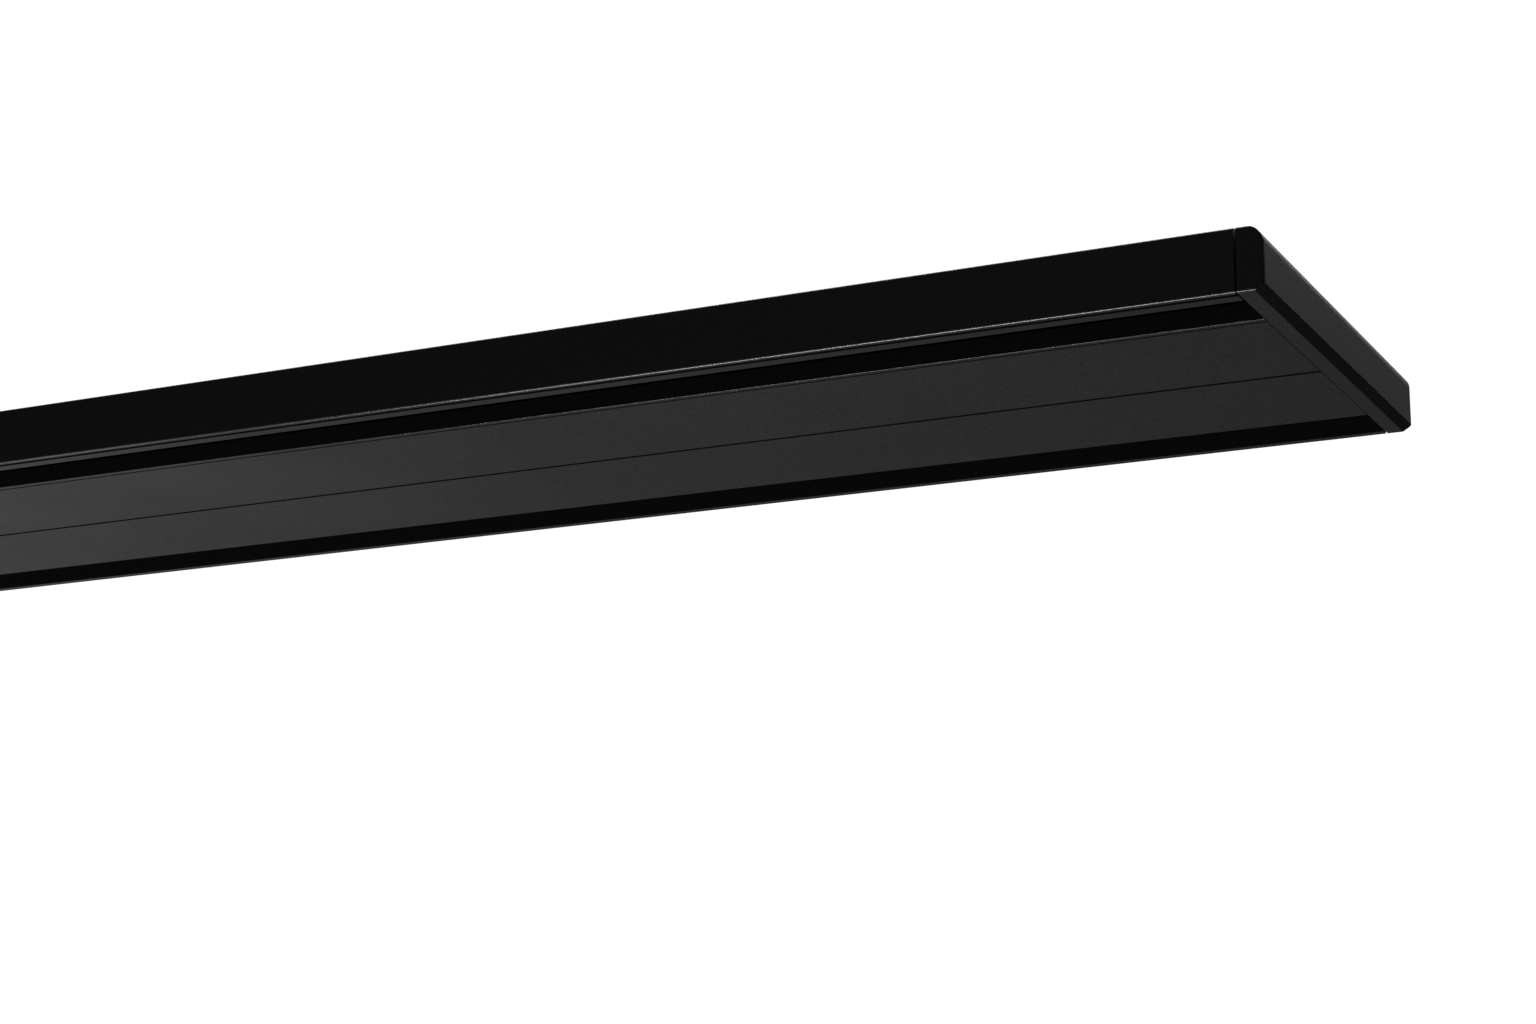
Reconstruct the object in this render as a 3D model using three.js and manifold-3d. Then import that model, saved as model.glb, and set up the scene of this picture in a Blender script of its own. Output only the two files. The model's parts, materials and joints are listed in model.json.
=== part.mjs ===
// Slim twin-slot LED strip batten. A black aluminium extrusion carries two flexible LED boards
// deep in two slots of its underside, behind smoked lenses. End caps close it, and two clips
// slide in a T-slot along its top. Low-voltage supply enters at a grommet in that T-slot.
// Millimetres, +Z up, X along the batten. Origin at the centre of the underside.
import * as THREE from "three";
import { mergeVertices } from "three/addons/utils/BufferGeometryUtils.js";
import Module from "manifold-3d";

const wasm = await Module();
wasm.setup();

// ---- Driving dimensions ----
const LENGTH = 600; // over both end caps
const WIDTH = 80;
const HEIGHT = 9.6;
const CAP = 4; // thickness of an end cap's plate
const GAP = 0.3; // clearance between neighbouring pieces

const PLATE = 1.4; // web, lip and top flanges
const EDGE_TOP = 0.5; // radius of the outer edges beside the top
const NEAR_WALL = 2; // wall with a lip under it
const NEAR_LIP = 4; // width of that lip, wall included
const FAR_WALL = 1.6; // plain wall with no lip
const WEB_NEAR = -26.2; // edges of the flat centre web
const WEB_FAR = 28.5;
const WEB_RECESS = 0.2; // the web sits this far above the lip
const RIB = 1.5; // ribs that stand on the web's edges
const FINE_LINES = [
  // [position across Y, width, depth] of the lines drawn into the underside
  [2.2, 0.8, 0.6],
  [-38.75, 0.9, 0.5],
  [-24.95, 0.45, 0.4],
];
const T_SLOT = 12; // opening of the slot along the top

const LENS_LOW = 3.2;
const LENS = 1;
const LENS_GRIP = 0.6; // depth of the grooves that hold a lens

const BOARD_WIDTH = 8;
const BOARD_LOW = 7.4;
const BOARD = 0.6;
const BOARD_END = 276; // the boards reach this far from the middle
const BOARD_GAP = 1; // half the gap between two boards
const LED = [3.5, 2.8, 0.8];
const LED_PITCH = 16.67;

const CLIP_X = 200; // rest position of each clip from the middle
const CLIP_LENGTH = 40;
const CLIP_WIDTH = 21.4;
const BOSS_LENGTH = 24; // part of a clip that rises through the slot
const THREAD = 2; // radius of a clip's threaded hole

const SPIGOT = 12; // length of the cap tongues inside the extrusion
const SPIGOT_Y = 17; // offset of each tongue and its screw
const SPIGOT_WIDTH = 14;
const SCREW_X = 290;

const SUPPLY_X = -256; // middle of the terminal block
const GROMMET_X = -238;
const LEADS_X = [-280, -275]; // where the leads cross the ribs
const LEAD_Z = 6;
const LEAD_R = 0.6;

// ---- Derived positions ----
const END = LENGTH / 2;
const HALF = WIDTH / 2;
const BODY_END = END - CAP - GAP; // the extrusion is cut here
const ROOF = HEIGHT - PLATE; // underside of the top flanges
const CAVITY = [WEB_NEAR + RIB, WEB_FAR - RIB]; // central cavity across Y
const NEAR = { inner: WEB_NEAR, outer: -HALF + NEAR_WALL }; // light channels across Y
const FAR = { inner: WEB_FAR, outer: HALF - FAR_WALL };
const CHANNELS = { near: NEAR, far: FAR };
const middleOf = (channel) => (channel.inner + channel.outer) / 2;
const sideOf = (channel) => Math.sign(channel.outer);

// ---- Finishes ----
const finish = (color, roughness, metalness = 0) =>
  new THREE.MeshStandardMaterial({ color, roughness, metalness });
const blackMetal = finish(0x1b1c1d, 0.5, 0.2);
const blackPlastic = finish(0x1c1d1e, 0.5);
const smoked = finish(0x0c0c0e, 0.2);
const boardWhite = finish(0xd9dad6, 0.5);
const connectorWhite = finish(0xc9c9c2, 0.5);
const terminalGrey = finish(0x8c9092, 0.5);
const zinc = finish(0xa9adb0, 0.35, 1);
const rubber = finish(0x0d0d0e, 0.85);
const redLead = finish(0x9c1c1c, 0.5);
const blackLead = finish(0x121314, 0.5);

// ---- Helpers ----
const batten = new THREE.Group();

function add(name, shape, material) {
  const geometry = shape.isBufferGeometry ? shape : geometryOf(shape);
  const mesh = new THREE.Mesh(geometry, material);
  mesh.name = name;
  batten.add(mesh);
}

// A closed geometry as a manifold-3d solid.
function solid(geometry) {
  const flat = geometry.index ? geometry.toNonIndexed() : geometry.clone();
  flat.deleteAttribute("normal");
  flat.deleteAttribute("uv");
  const merged = mergeVertices(flat, 1e-4);
  return new wasm.Manifold(
    new wasm.Mesh({
      numProp: 3,
      vertProperties: merged.attributes.position.array,
      triVerts: new Uint32Array(merged.index.array),
    }),
  );
}

function geometryOf(manifold) {
  const mesh = manifold.getMesh();
  return new THREE.BufferGeometry()
    .setAttribute("position", new THREE.BufferAttribute(mesh.vertProperties, 3))
    .setIndex(new THREE.BufferAttribute(mesh.triVerts, 1));
}

// A block between two values on each axis, given in either order.
function block([xa, xb], [ya, yb], [za, zb]) {
  const size = [Math.abs(xb - xa), Math.abs(yb - ya), Math.abs(zb - za)];
  const geometry = new THREE.BoxGeometry(...size);
  return solid(geometry.translate((xa + xb) / 2, (ya + yb) / 2, (za + zb) / 2));
}

// An upright cylinder or cone between two heights.
function round(x, y, [z0, z1], lowRadius, topRadius = lowRadius, sides = 24) {
  const geometry = new THREE.CylinderGeometry(topRadius, lowRadius, z1 - z0, sides);
  return solid(geometry.rotateX(Math.PI / 2).translate(x, y, (z0 + z1) / 2));
}

// A level cylinder along X or Y.
function bore(axis, [from, to], radius, across, z, sides = 16) {
  const geometry = new THREE.CylinderGeometry(radius, radius, Math.abs(to - from), sides);
  const middle = (from + to) / 2;
  if (axis === "y") return solid(geometry.translate(across, middle, z));
  return solid(geometry.rotateZ(Math.PI / 2).translate(middle, across, z));
}

const cut = (body, tools) => tools.reduce((rest, tool) => rest.subtract(tool), body);
const join = (body, pieces) => pieces.reduce((whole, piece) => whole.add(piece), body);
const wholeLength = [-END, END];

// ---- Housing ----

// The batten's outer section with its rounded top edges, drawn in (Y, Z) and extruded along X.
function roundedBar(from, to) {
  const shape = new THREE.Shape();
  const [y, z] = [HALF - EDGE_TOP, HEIGHT - EDGE_TOP];
  shape.moveTo(-HALF, 0);
  shape.lineTo(HALF, 0);
  shape.absarc(y, z, EDGE_TOP, 0, Math.PI / 2);
  shape.absarc(-y, z, EDGE_TOP, Math.PI / 2, Math.PI);
  const options = { depth: to - from, bevelEnabled: false, curveSegments: 10 };
  const geometry = new THREE.ExtrudeGeometry(shape, options);
  return solid(geometry.rotateX(Math.PI / 2).rotateZ(Math.PI / 2).translate(from, 0, 0));
}

// Countersunk head of a cap screw, as the screw itself or as the seat cut for it.
function screwHead(x, y, grow) {
  return round(x, y, [ROOF + 0.1 - grow, HEIGHT - 0.1 + grow], 1.3 + grow, 2.4 + grow);
}

const capScrews = [-1, 1].flatMap((end) => [-1, 1].map((side) => [end * SCREW_X, side * SPIGOT_Y]));

function housing() {
  const channels = [NEAR, FAR].flatMap((channel) => {
    const grip = sideOf(channel) * LENS_GRIP;
    const groove = [channel.inner - grip, channel.outer + grip];
    return [
      block(wholeLength, [channel.inner, channel.outer], [PLATE, ROOF]),
      block(wholeLength, groove, [LENS_LOW - 0.15, LENS_LOW + LENS + 0.15]),
    ];
  });
  const underside = [
    block(wholeLength, [NEAR.inner, -HALF + NEAR_LIP], [-1, PLATE + 1]),
    block(wholeLength, [FAR.inner, FAR.outer], [-1, PLATE + 1]),
    block(wholeLength, [WEB_NEAR, WEB_FAR], [-1, WEB_RECESS]),
    ...FINE_LINES.map(([y, width, depth]) => {
      const surface = y < WEB_NEAR ? 0 : WEB_RECESS;
      return block(wholeLength, [y - width / 2, y + width / 2], [-1, surface + depth]);
    }),
  ];
  const inside = [
    block(wholeLength, CAVITY, [PLATE, ROOF]),
    block(wholeLength, [-T_SLOT / 2, T_SLOT / 2], [ROOF - 1, HEIGHT + 1]),
  ];
  const leadHoles = LEADS_X.map((x) =>
    bore("y", [WEB_NEAR - 1, WEB_FAR + 1], LEAD_R + 0.35, x, LEAD_Z),
  );
  const screwSeats = capScrews.flatMap(([x, y]) => [
    screwHead(x, y, 0.25),
    round(x, y, [ROOF - 1, HEIGHT], 1.55),
  ]);
  const bar = roundedBar(-BODY_END, BODY_END);
  return cut(bar, [...channels, ...underside, ...inside, ...leadHoles, ...screwSeats]);
}
add("housing", housing(), blackMetal);

// ---- End caps ----
const TOP_ROUND = 2.8; // radius between a cap's top and its end face
const LOW_BEVEL = [1.5, 0.9]; // length and height of the bevel under its end face
const CORNER = 0.6; // radius of its upright edges

// The cap's profile in (X, Z), extruded across the batten.
function capProfile() {
  const [back, front] = [END - CAP, END];
  const shape = new THREE.Shape();
  shape.moveTo(back, 0);
  shape.lineTo(front - LOW_BEVEL[0], 0);
  shape.lineTo(front, LOW_BEVEL[1]);
  shape.lineTo(front, HEIGHT - TOP_ROUND);
  shape.absarc(front - TOP_ROUND, HEIGHT - TOP_ROUND, TOP_ROUND, 0, Math.PI / 2);
  shape.lineTo(back, HEIGHT);
  shape.closePath();
  const geometry = new THREE.ExtrudeGeometry(shape, {
    depth: WIDTH,
    bevelEnabled: false,
    curveSegments: 16,
  });
  return solid(geometry.rotateX(Math.PI / 2).translate(0, HALF, 0));
}

// The cap's outline seen from above, with rounded outer corners.
function capOutline() {
  const shape = new THREE.Shape();
  const [x, y] = [END - CORNER, HALF - CORNER];
  shape.moveTo(END - CAP, -HALF);
  shape.lineTo(x, -HALF);
  shape.absarc(x, -y, CORNER, -Math.PI / 2, 0);
  shape.absarc(x, y, CORNER, 0, Math.PI / 2);
  shape.lineTo(END - CAP, HALF);
  shape.closePath();
  const options = { depth: HEIGHT + 2, bevelEnabled: false, curveSegments: 10 };
  return solid(new THREE.ExtrudeGeometry(shape, options).translate(0, 0, -1));
}

// `end` is 1 for the right cap and -1 for the left one.
function endCap(end) {
  const plate = capProfile().intersect(capOutline()).intersect(roundedBar(END - CAP - 1, END + 1));
  const facing = end > 0 ? plate : plate.mirror([1, 0, 0]);
  const root = end * (END - CAP + 0.5);
  const tongues = [-1, 1].map((side) =>
    block(
      [end * (END - CAP - SPIGOT), root],
      [side * SPIGOT_Y - SPIGOT_WIDTH / 2, side * SPIGOT_Y + SPIGOT_WIDTH / 2],
      [PLATE + GAP, ROOF - GAP],
    ),
  );
  const plugs = [NEAR, FAR].map((channel) => {
    const play = sideOf(channel) * GAP;
    return block(
      [end * (END - CAP - SPIGOT + 2), root],
      [channel.inner + play, channel.outer - play],
      [LENS_LOW + LENS + 0.45, ROOF - GAP],
    );
  });
  const holes = [-1, 1].map((side) =>
    round(end * SCREW_X, side * SPIGOT_Y, [0.5, HEIGHT], 1.5),
  );
  return cut(join(facing, [...tongues, ...plugs]), holes);
}
add("end_cap_right", endCap(1), blackPlastic);
add("end_cap_left", endCap(-1), blackPlastic);

capScrews.forEach(([x, y], i) => {
  const shank = round(x, y, [PLATE + 1, HEIGHT - 0.6], 1.2);
  const socket = round(x, y, [HEIGHT - 1, HEIGHT + 1], 0.9, 0.9, 6);
  add(`cap_screw_${i + 1}`, screwHead(x, y, 0).add(shank).subtract(socket), zinc);
});

// ---- Light channels ----

// A flexible board with a row of LED packages facing down.
function ledBoard(middle, direction) {
  const [from, to] = [direction * BOARD_GAP, direction * BOARD_END];
  const strip = block(
    [from, to],
    [middle - BOARD_WIDTH / 2, middle + BOARD_WIDTH / 2],
    [BOARD_LOW, BOARD_LOW + BOARD],
  );
  const [long, wide, tall] = LED;
  const count = Math.floor((BOARD_END - 8) / LED_PITCH);
  const packages = Array.from({ length: count }, (_, i) => {
    const x = direction * LED_PITCH * (i + 0.5);
    return block(
      [x - long / 2, x + long / 2],
      [middle - wide / 2, middle + wide / 2],
      [BOARD_LOW - tall, BOARD_LOW + 0.1],
    );
  });
  return join(strip, packages);
}

// A moulded clamp that wraps the board from below, with its wire holes towards the cavity.
function clamp(middle, [x0, x1], low, holeSide = 0) {
  const [grip, outer] = [BOARD_WIDTH / 2 + GAP, BOARD_WIDTH / 2 + 0.7];
  const body = block([x0, x1], [middle - outer, middle + outer], [low, BOARD_LOW + BOARD]);
  const seat = block([x0 - 1, x1 + 1], [middle - grip, middle + grip], [BOARD_LOW - GAP, HEIGHT]);
  const holes = holeSide
    ? LEADS_X.map((x) => {
        const face = middle + holeSide * outer;
        return bore("y", [face + holeSide, face - holeSide * 3], LEAD_R + 0.3, x, LEAD_Z);
      })
    : [];
  return cut(body, [seat, ...holes]);
}

for (const [label, channel] of Object.entries(CHANNELS)) {
  const middle = middleOf(channel);
  const grip = sideOf(channel) * (LENS_GRIP - GAP);
  add(
    `lens_${label}`,
    block(
      [-BODY_END + 0.2, BODY_END - 0.2],
      [channel.inner - grip, channel.outer + grip],
      [LENS_LOW, LENS_LOW + LENS],
    ),
    smoked,
  );
  add(`led_board_${label}_left`, ledBoard(middle, -1), boardWhite);
  add(`led_board_${label}_right`, ledBoard(middle, 1), boardWhite);
  add(`board_joiner_${label}`, clamp(middle, [-4, 4], 6), connectorWhite);
  const towardsCavity = -sideOf(channel);
  add(`strip_connector_${label}`, clamp(middle, [-283, -272], 4.9, towardsCavity), connectorWhite);
}

// ---- Supply ----
const ENTRY_Z = 4.6;
const ENTRIES = [2.5, 7.5]; // offsets of the lead entries from the middle
const TERMINAL = [12, 20]; // length and width of the block

function terminalBlock() {
  const [x0, x1] = [SUPPLY_X - TERMINAL[0] / 2, SUPPLY_X + TERMINAL[0] / 2];
  const body = block([x0, x1], [-TERMINAL[1] / 2, TERMINAL[1] / 2], [PLATE + GAP, ROOF - GAP]);
  const leads = ENTRIES.flatMap((y) => [-y, y]).map((y) =>
    bore("x", [x0 - 1, x0 + 3.5], LEAD_R + 0.3, y, ENTRY_Z),
  );
  const supply = [-4, 4].map((y) => bore("x", [x1 - 4, x1 + 1], 1.5, y, ENTRY_Z));
  const screws = [-4, 4].map((y) => round(SUPPLY_X, y, [6.3, HEIGHT], 2));
  return cut(body, [...leads, ...supply, ...screws]);
}
add("feed_terminal", terminalBlock(), terminalGrey);

[-4, 4].forEach((y, i) => {
  const screw = round(SUPPLY_X, y, [6.5, 7.6], 1.7);
  const slot = block([SUPPLY_X - 3, SUPPLY_X + 3], [y - 0.3, y + 0.3], [7.1, 8]);
  add(`terminal_screw_${i + 1}`, screw.subtract(slot), zinc);
});

// Each lead leaves its connector, crosses the rib and turns into the terminal block.
function lead(channel, x, entry) {
  const side = sideOf(channel);
  const start = middleOf(channel) - side * (BOARD_WIDTH / 2 - 1);
  const points = [
    [x, start, LEAD_Z],
    [x, side * 24, LEAD_Z],
    [x + 2, side * (entry + 8), 5.2],
    [x + 9, side * entry, ENTRY_Z],
    [SUPPLY_X - TERMINAL[0] / 2 + 2, side * entry, ENTRY_Z],
  ];
  const corners = points.map((p) => new THREE.Vector3(...p));
  const section = Array.from({ length: 8 }, (_, i) => {
    const angle = (i * Math.PI) / 4;
    return new THREE.Vector2(LEAD_R * Math.cos(angle), LEAD_R * Math.sin(angle));
  });
  return new THREE.ExtrudeGeometry(new THREE.Shape(section), {
    steps: 32,
    extrudePath: new THREE.CatmullRomCurve3(corners, false, "centripetal"),
  });
}

// the lead nearest the end goes to the entry nearest the middle, so that no two cross
for (const [label, channel] of Object.entries(CHANNELS)) {
  add(`lead_${label}_positive`, solid(lead(channel, LEADS_X[0], ENTRIES[0])), redLead);
  add(`lead_${label}_negative`, solid(lead(channel, LEADS_X[1], ENTRIES[1])), blackLead);
}

// Rubber grommet that lines the opening for the supply in the T-slot.
function grommet() {
  const half = T_SLOT / 2 - GAP;
  const throat = block([GROMMET_X - 7, GROMMET_X + 7], [-half, half], [ROOF - 1, HEIGHT - 0.1]);
  const flange = block([GROMMET_X - 8, GROMMET_X + 8], [-half - 2, half + 2], [ROOF - 1.6, ROOF - GAP]);
  return throat.add(flange).subtract(round(GROMMET_X, 0, [0, HEIGHT + 1], 3.2));
}
add("feed_grommet", grommet(), rubber);

// ---- Sliding clips ----

// A carriage that fills the cavity's height, with a boss that rises through the T-slot.
function clip(x) {
  const half = T_SLOT / 2 - GAP;
  const carriage = block(
    [x - CLIP_LENGTH / 2, x + CLIP_LENGTH / 2],
    [-CLIP_WIDTH / 2, CLIP_WIDTH / 2],
    [PLATE + GAP, ROOF - GAP],
  );
  const boss = block([x - BOSS_LENGTH / 2, x + BOSS_LENGTH / 2], [-half, half], [4, HEIGHT]);
  return carriage.add(boss).subtract(round(x, 0, [0, HEIGHT + 1], THREAD));
}

[-1, 1].forEach((end, i) => {
  const x = end * CLIP_X;
  add(`mounting_clip_${i + 1}`, clip(x), zinc);
  const screw = round(x, 0, [PLATE + 0.5, 8.8], THREAD - GAP);
  const socket = round(x, 0, [6.6, HEIGHT], 1, 1, 6);
  add(`clip_set_screw_${i + 1}`, screw.subtract(socket), zinc);
});

export default batten;
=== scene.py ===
"""The looks of a slim black twin-slot LED strip batten, seen from below and beside its end.

Metres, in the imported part's frame: X along the batten, Y across it, Z up.
"""

import json
import math

import bmesh
import bpy
from mathutils import Matrix, Vector


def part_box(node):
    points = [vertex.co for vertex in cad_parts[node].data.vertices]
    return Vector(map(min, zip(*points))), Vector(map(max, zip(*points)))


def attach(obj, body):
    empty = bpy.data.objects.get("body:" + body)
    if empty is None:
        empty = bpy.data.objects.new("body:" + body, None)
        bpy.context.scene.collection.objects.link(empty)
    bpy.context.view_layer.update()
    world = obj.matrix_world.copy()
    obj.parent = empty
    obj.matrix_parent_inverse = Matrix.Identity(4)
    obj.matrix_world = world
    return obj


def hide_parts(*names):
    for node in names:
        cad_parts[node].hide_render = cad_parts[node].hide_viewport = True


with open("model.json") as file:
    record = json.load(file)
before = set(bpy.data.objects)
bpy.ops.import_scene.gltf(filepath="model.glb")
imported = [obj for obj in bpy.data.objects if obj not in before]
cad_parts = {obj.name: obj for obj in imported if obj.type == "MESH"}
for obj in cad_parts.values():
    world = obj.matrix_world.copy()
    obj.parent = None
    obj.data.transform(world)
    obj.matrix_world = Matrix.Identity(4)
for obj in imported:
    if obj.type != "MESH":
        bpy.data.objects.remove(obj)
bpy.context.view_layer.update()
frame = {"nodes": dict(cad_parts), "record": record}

MM = 0.001
BATTEN = "batten"


# ---- Materials ----


def new_material(name):
    material = bpy.data.materials.new(name)
    material.use_nodes = True
    tree = material.node_tree
    shader = tree.nodes["Principled BSDF"]
    return material, tree, shader


def noise(tree, scale, detail=3.0, stretch=(1, 1, 1), roughness=0.55):
    """Noise over the piece's own coordinates, stretched by the given factors."""
    nodes, links = tree.nodes, tree.links
    coordinates = nodes.new("ShaderNodeTexCoord")
    mapping = nodes.new("ShaderNodeMapping")
    mapping.inputs["Scale"].default_value = stretch
    texture = nodes.new("ShaderNodeTexNoise")
    texture.inputs["Scale"].default_value = scale
    texture.inputs["Detail"].default_value = detail
    texture.inputs["Roughness"].default_value = roughness
    links.new(coordinates.outputs["Object"], mapping.inputs["Vector"])
    links.new(mapping.outputs["Vector"], texture.inputs["Vector"])
    return texture.outputs["Fac"]


def mapped(tree, value, low, high, from_low=0.3, from_high=0.7):
    node = tree.nodes.new("ShaderNodeMapRange")
    for socket, number in (
        ("From Min", from_low),
        ("From Max", from_high),
        ("To Min", low),
        ("To Max", high),
    ):
        node.inputs[socket].default_value = number
    tree.links.new(value, node.inputs["Value"])
    return node.outputs["Result"]


def tint(tree, value, dark, light):
    """A colour between two, chosen by a value from 0.3 to 0.7."""
    ramp = tree.nodes.new("ShaderNodeValToRGB")
    ramp.color_ramp.elements[0].position = 0.3
    ramp.color_ramp.elements[1].position = 0.7
    ramp.color_ramp.elements[0].color = (*dark, 1)
    ramp.color_ramp.elements[1].color = (*light, 1)
    tree.links.new(value, ramp.inputs["Fac"])
    return ramp.outputs["Color"]


def bump(tree, shader, layers):
    """Adds bumps, each (height value, strength, depth in metres), one over the other."""
    normal = None
    for height, strength, depth in layers:
        node = tree.nodes.new("ShaderNodeBump")
        node.inputs["Strength"].default_value = strength
        node.inputs["Distance"].default_value = depth
        tree.links.new(height, node.inputs["Height"])
        if normal:
            tree.links.new(normal, node.inputs["Normal"])
        normal = node.outputs["Normal"]
    tree.links.new(normal, shader.inputs["Normal"])


def surface(
    name, dark, light, roughness, grain, metallic=0.0, specular=0.5, lines=0.0, coat=0.0
):
    """A procedural finish: tint and roughness drift, fine grain, and optional draw lines."""
    material, tree, shader = new_material(name)
    shader.inputs["Metallic"].default_value = metallic
    shader.inputs["Specular IOR Level"].default_value = specular
    shader.inputs["Coat Weight"].default_value = coat
    broad = noise(tree, 14, 4)
    fine = noise(tree, grain, 2)
    tree.links.new(tint(tree, fine, dark, light), shader.inputs["Base Color"])
    tree.links.new(mapped(tree, broad, *roughness), shader.inputs["Roughness"])
    layers = [(fine, 0.12, 0.00006)]
    if lines:
        drawn = noise(tree, 900, 2, stretch=(0.006, 1, 1))
        layers.append((drawn, lines, 0.00004))
    bump(tree, shader, layers)
    return material


housing_black = surface(
    "housing_black",
    (0.018, 0.018, 0.0184),
    (0.035, 0.035, 0.0355),
    (0.5, 0.6),
    2600,
    specular=0.16,
    lines=0.08,
)
# painted highlight: a lighter metallic finish for the near-side edges, so they show bright
# highlight lines
painted_highlight_edge = surface(
    "painted_highlight_edge",
    (0.22, 0.22, 0.223),
    (0.34, 0.34, 0.343),
    (0.2, 0.3),
    1800,
    metallic=0.85,
)
cap_black = surface(
    "cap_black",
    (0.019, 0.019, 0.0194),
    (0.035, 0.035, 0.0355),
    (0.54, 0.66),
    2200,
    specular=0.14,
)
# near black, without specular reflection: the lens's own smoked tint, darkened further as
# painted shade so the deep slots read dark
smoked_lens = surface(
    "smoked_lens",
    (0.0006, 0.0006, 0.0007),
    (0.001, 0.001, 0.0012),
    (0.6, 0.7),
    900,
    specular=0.0,
)
board_white = surface(
    "board_white", (0.66, 0.66, 0.63), (0.76, 0.76, 0.73), (0.35, 0.5), 700, coat=0.2
)
phosphor = surface("phosphor", (0.72, 0.55, 0.1), (0.85, 0.68, 0.16), (0.3, 0.42), 1500)
copper_pad = surface(
    "copper_pad", (0.55, 0.56, 0.57), (0.7, 0.7, 0.7), (0.25, 0.4), 1800, metallic=1.0
)
connector_white = surface(
    "connector_white", (0.55, 0.55, 0.5), (0.66, 0.66, 0.61), (0.4, 0.55), 900
)
terminal_grey = surface(
    "terminal_grey", (0.2, 0.22, 0.23), (0.27, 0.29, 0.3), (0.42, 0.58), 1100
)
zinc_plate = surface(
    "zinc_plate",
    (0.42, 0.43, 0.45),
    (0.6, 0.6, 0.6),
    (0.28, 0.46),
    420,
    metallic=1.0,
    lines=0.15,
)
grommet_rubber = surface(
    "grommet_rubber", (0.012, 0.012, 0.012), (0.022, 0.022, 0.022), (0.72, 0.88), 1400
)
red_insulation = surface(
    "red_insulation", (0.3, 0.012, 0.012), (0.4, 0.025, 0.02), (0.35, 0.5), 1300
)
black_insulation = surface(
    "black_insulation", (0.012, 0.012, 0.013), (0.02, 0.02, 0.021), (0.35, 0.5), 1300
)

FINISH = {
    "housing_metal": housing_black,
    "cap_plastic": cap_black,
    "zinc_hardware": zinc_plate,
    "smoked_lens": smoked_lens,
    "led_board": board_white,
    "connector_plastic": connector_white,
    "terminal_plastic": terminal_grey,
    "grommet_rubber": grommet_rubber,
    "red_insulation": red_insulation,
    "black_insulation": black_insulation,
}

# ---- Pieces that stand for the CAD nodes, with softened edges ----

# painted highlight: the sharp long edges of the black pieces' near half get a lighter metallic
# finish, so they show bright highlight lines
HIGHLIGHT_EDGE = {"housing_metal": painted_highlight_edge, "cap_plastic": painted_highlight_edge}
HIGHLIGHT_RADIUS = 0.26 * MM
HIGHLIGHT_ANGLE = math.radians(60)  # the least angle of an edge that gets the painted highlight
HIGHLIGHT_LAND = 0.7 * MM  # and the least width of the faces beside it, so fine lines stay crisp
LIP_Y = -35 * MM  # the lip lies beyond this, and gets a wider painted highlight than the web's edge
# the web's edge gets this share of the painted highlight's width
WEB_HIGHLIGHT = 0.22
# the least angle in degrees, between two faces, that shows as an edge
CREASE = {"housing_metal": 11, "cap_plastic": 11}
USUAL_CREASE = 40
WELD = 0.004 * MM
FLAT = math.radians(0.5)
EDGE_RADIUS = {
    "housing_metal": 0.08 * MM,
    "cap_plastic": 0.3 * MM,
    "zinc_hardware": 0.18 * MM,
    "smoked_lens": 0.1 * MM,
    "led_board": 0.06 * MM,
    "connector_plastic": 0.15 * MM,
    "terminal_plastic": 0.2 * MM,
    "grommet_rubber": 0.3 * MM,
}


def cleaned_copy(node, name, crease):
    """A copy of a CAD node's mesh, with its vertices joined and its flat faces merged."""
    mesh = frame["nodes"][node].data.copy()
    mesh.name = name
    work = bmesh.new()
    work.from_mesh(mesh)
    bmesh.ops.remove_doubles(work, verts=work.verts, dist=WELD)
    bmesh.ops.dissolve_limit(work, angle_limit=FLAT, verts=work.verts, edges=work.edges)
    for face in work.faces:
        face.smooth = True
    for edge in work.edges:
        edge.smooth = len(edge.link_faces) == 2 and edge.calc_face_angle(0) < crease
    bare = bpy.data.meshes.new(name)
    work.to_mesh(bare)
    work.free()
    bpy.data.meshes.remove(mesh)
    return bare


def rounding(piece, name, radius, limit):
    """Rounds the edges picked by "WEIGHT" or by "ANGLE"."""
    bevel = piece.modifiers.new(name, "BEVEL")
    bevel.width = radius
    bevel.segments = 4
    bevel.limit_method = limit
    bevel.angle_limit = math.radians(25)
    bevel.harden_normals = True
    return bevel


def paint_edge_highlight(piece, finish):
    """Rounds the near half's sharp edges along X with a lighter metallic finish, a painted
    highlight: widest at the lip.
    """
    work = bmesh.new()
    work.from_mesh(piece.data)
    weight = work.edges.layers.float.new("bevel_weight_edge")
    for edge in work.edges:
        length = edge.calc_length()
        y = edge.verts[0].co.y
        along = abs(edge.verts[0].co.x - edge.verts[1].co.x) > 0.9 * length
        faces = edge.link_faces
        sharp = len(faces) == 2 and edge.calc_face_angle(0) > HIGHLIGHT_ANGLE
        if y < 0 and along and sharp and min(f.calc_area() for f in faces) > HIGHLIGHT_LAND * length:
            edge[weight] = 1 if y < LIP_Y else WEB_HIGHLIGHT
    work.to_mesh(piece.data)
    work.free()
    piece.data.materials.append(finish)
    highlight_bevel = rounding(piece, "painted_highlight_bevel", HIGHLIGHT_RADIUS, "WEIGHT")
    highlight_bevel.material = len(piece.data.materials) - 1


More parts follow.
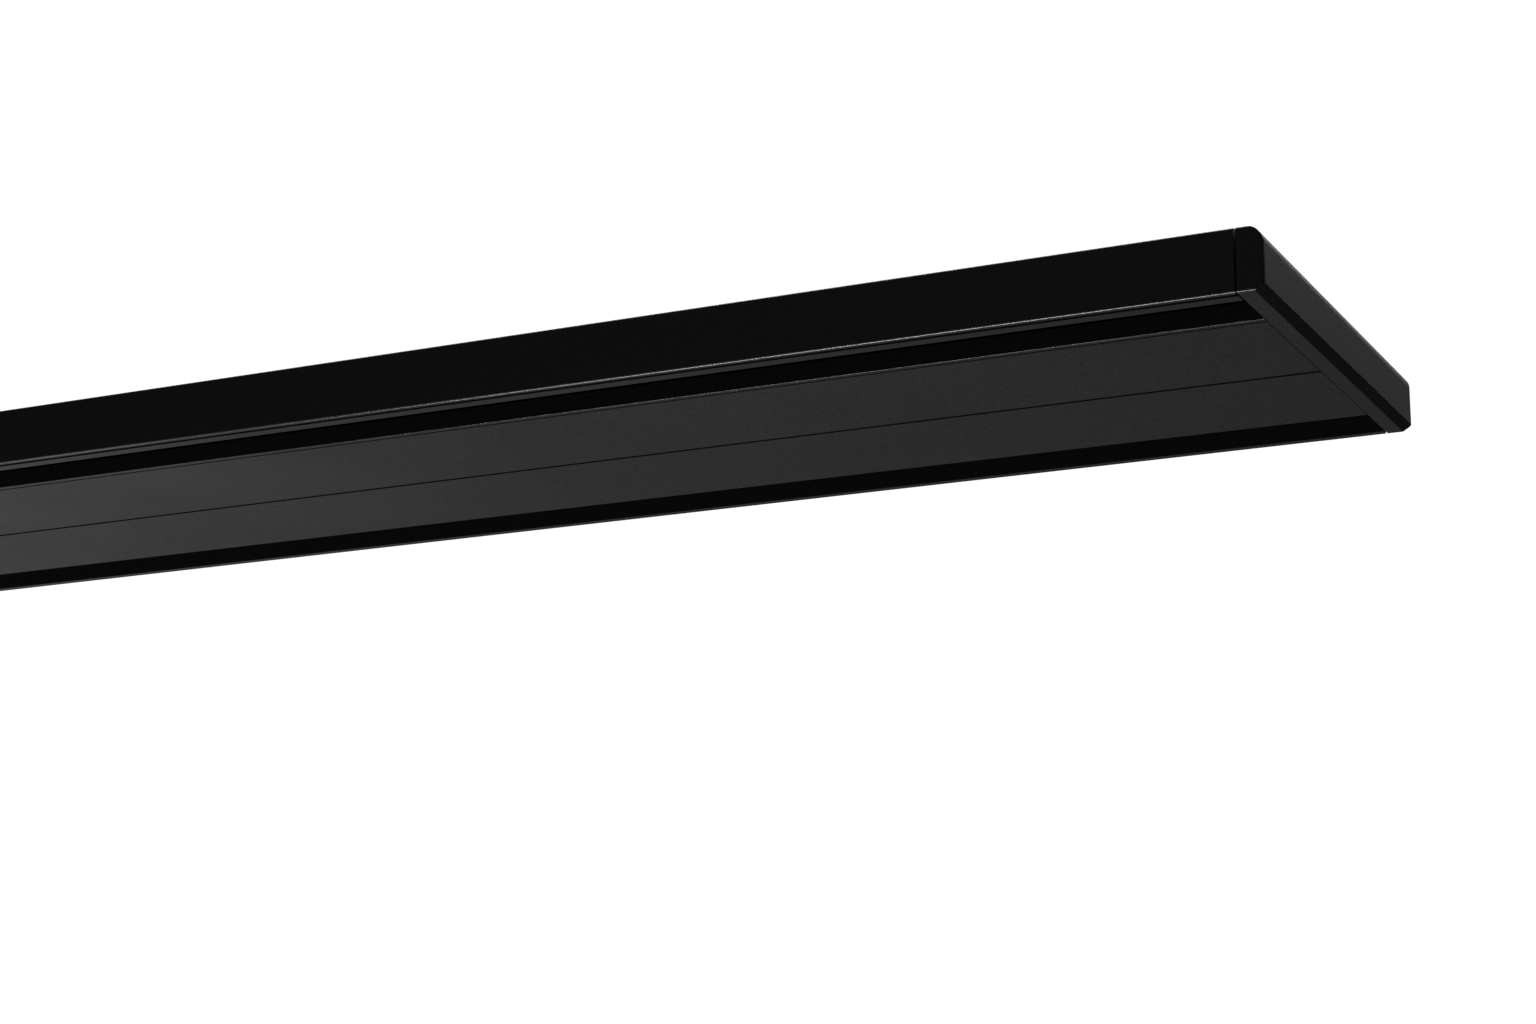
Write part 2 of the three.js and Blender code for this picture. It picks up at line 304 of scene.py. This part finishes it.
def dress(node, body, slot):
    """Stands a softened, finished piece in the place of a CAD node."""
    name = "look_" + node
    crease = math.radians(CREASE.get(slot, USUAL_CREASE))
    piece = bpy.data.objects.new(name, cleaned_copy(node, name, crease))
    bpy.context.scene.collection.objects.link(piece)
    piece.data.materials.append(FINISH[slot])
    # the near-side edges get the painted highlight
    if slot in HIGHLIGHT_EDGE:
        paint_edge_highlight(piece, HIGHLIGHT_EDGE[slot])
    if slot in EDGE_RADIUS:
        rounding(piece, "softened", EDGE_RADIUS[slot], "ANGLE")
    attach(piece, body)
    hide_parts(node)
    return piece


record = frame["record"]
slot_of = {row["node"]: row["material_slot"] for row in record["subparts"]}
for body, nodes in record["behaviour"]["bodies"].items():
    for node in nodes:
        dress(node, body, slot_of[node])


# ---- Detail on the LED boards ----

LED_PITCH = 16.67 * MM
LEDS = 16  # on each of the two boards in a slot
BOARD = 0.6 * MM  # thickness of a board
WINDOW = (2.6 * MM, 2.1 * MM, 0.1 * MM)  # the phosphor in an LED's face
PAD = (2.4 * MM, 1.5 * MM, 0.06 * MM)
PAD_Y = 2.4 * MM
RESISTOR = (2.0 * MM, 1.2 * MM, 0.4 * MM)
RESISTOR_X, RESISTOR_Y = 4.6 * MM, 1.6 * MM  # its offset from an LED


def blocks(name, boxes, material):
    """One piece made of separate boxes, each (centre, size)."""
    work = bmesh.new()
    for centre, size in boxes:
        place = Matrix.Translation(centre) @ Matrix.Diagonal((*size, 1))
        bmesh.ops.create_cube(work, size=1, matrix=place)
    mesh = bpy.data.meshes.new(name)
    work.to_mesh(mesh)
    work.free()
    piece = bpy.data.objects.new(name, mesh)
    bpy.context.scene.collection.objects.link(piece)
    mesh.materials.append(material)
    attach(piece, BATTEN)
    return piece


for label in ("near", "far"):
    low, high = (Vector(corner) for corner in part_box("led_board_" + label + "_left"))
    y, face_z, board_z = (low.y + high.y) / 2, low.z, high.z - BOARD
    places = [side * LED_PITCH * (i + 0.5) for side in (-1, 1) for i in range(LEDS)]
    windows = [((x, y, face_z), WINDOW) for x in places]
    blocks("phosphor_" + label, windows, phosphor)
    pads = [
        ((x + LED_PITCH / 2, y + side * PAD_Y, board_z), PAD)
        for x in places[2::3]
        for side in (-1, 1)
    ]
    blocks("solder_pads_" + label, pads, copper_pad)
    resistor_z = board_z - RESISTOR[2] / 2
    resistors = [((x + RESISTOR_X, y + RESISTOR_Y, resistor_z), RESISTOR) for x in places[1::3]]
    blocks("resistors_" + label, resistors, black_insulation)

# ---- Floor ----

floor_material, floor_tree, floor_shader = new_material("floor_pale")
floor_mottle = noise(floor_tree, 3)
floor_tint = tint(floor_tree, floor_mottle, (0.83, 0.83, 0.83), (0.86, 0.86, 0.86))
floor_tree.links.new(floor_tint, floor_shader.inputs["Base Color"])
floor_shader.inputs["Roughness"].default_value = 0.8
FLOOR_SIZE, FLOOR_Z = 40, -2  # far enough below for the batten to be seen from beneath
bpy.ops.mesh.primitive_plane_add(size=FLOOR_SIZE, location=(0, 0, FLOOR_Z))
floor = bpy.context.object
floor.name = "floor"
floor.data.materials.append(floor_material)
floor.visible_diffuse = False
floor.visible_glossy = False
floor.visible_shadow = False

# ---- Light ----


def world_light(seen, ambient):
    """A white surround for the camera, and a dimmer one that lights the batten."""
    world = bpy.data.worlds.new("studio")
    bpy.context.scene.world = world
    world.use_nodes = True
    nodes, links = world.node_tree.nodes, world.node_tree.links
    background = nodes["Background"]
    background.inputs["Color"].default_value = (1, 1, 1, 1)
    path = nodes.new("ShaderNodeLightPath")
    mix = nodes.new("ShaderNodeMapRange")
    mix.inputs["To Min"].default_value = ambient
    mix.inputs["To Max"].default_value = seen
    links.new(path.outputs["Is Camera Ray"], mix.inputs["Value"])
    links.new(mix.outputs["Result"], background.inputs["Strength"])


def area_light(name, place, target, size, power):
    data = bpy.data.lights.new(name, "AREA")
    data.shape = "RECTANGLE"
    data.size, data.size_y = size
    data.energy = power
    light = bpy.data.objects.new(name, data)
    bpy.context.scene.collection.objects.link(light)
    light.location = place
    aim = Vector(target) - Vector(place)
    light.rotation_euler = aim.to_track_quat("-Z", "Y").to_euler()
    light.visible_camera = False
    return light


world_light(1.05, 0.035)
area_light("soft_below", (-1.3, 0.27, -0.56), (0.15, 0, 0), (0.45, 0.4), 35.5)
area_light("soft_end", (1.0, 0.5, 0.72), (0.28, 0, 0), (0.5, 0.5), 0.9)
area_light("edge_strip", (-0.05, -0.22, -0.68), (0.2, -0.04, 0), (0.6, 0.08), 1.2)
area_light("side_fill", (0.3, -1.6, 0.9), (0, 0, 0), (0.8, 0.4), 1.4)
area_light("overhead", (0, 1.9, 2.4), (0, 1.2, -2), (3.4, 3.0), 290)

# ---- Camera ----


def aim_camera(place, azimuth, elevation, roll, lens):
    """Looks along a direction turned from +Y towards -X, raised, and rolled a little."""
    azimuth, elevation, roll = (math.radians(a) for a in (azimuth, elevation, roll))
    forward = Vector(
        (
            -math.sin(azimuth) * math.cos(elevation),
            math.cos(azimuth) * math.cos(elevation),
            math.sin(elevation),
        )
    )
    level = forward.cross(Vector((0, 0, 1))).normalized()
    upright = level.cross(forward)
    right = level * math.cos(roll) + upright * math.sin(roll)
    up = upright * math.cos(roll) - level * math.sin(roll)
    data = bpy.data.cameras.new("camera")
    data.sensor_width = 36
    data.lens = lens
    data.clip_start = 0.01
    camera = bpy.data.objects.new("camera", data)
    bpy.context.scene.collection.objects.link(camera)
    axes = Matrix((right, up, -forward)).transposed()
    camera.matrix_world = Matrix.Translation(place) @ axes.to_4x4()
    bpy.context.scene.camera = camera


aim_camera((0.4094, -0.4094, -0.127), 26.69, 14.01, 0.53, 67.8)
bpy.context.scene.view_settings.view_transform = "Standard"
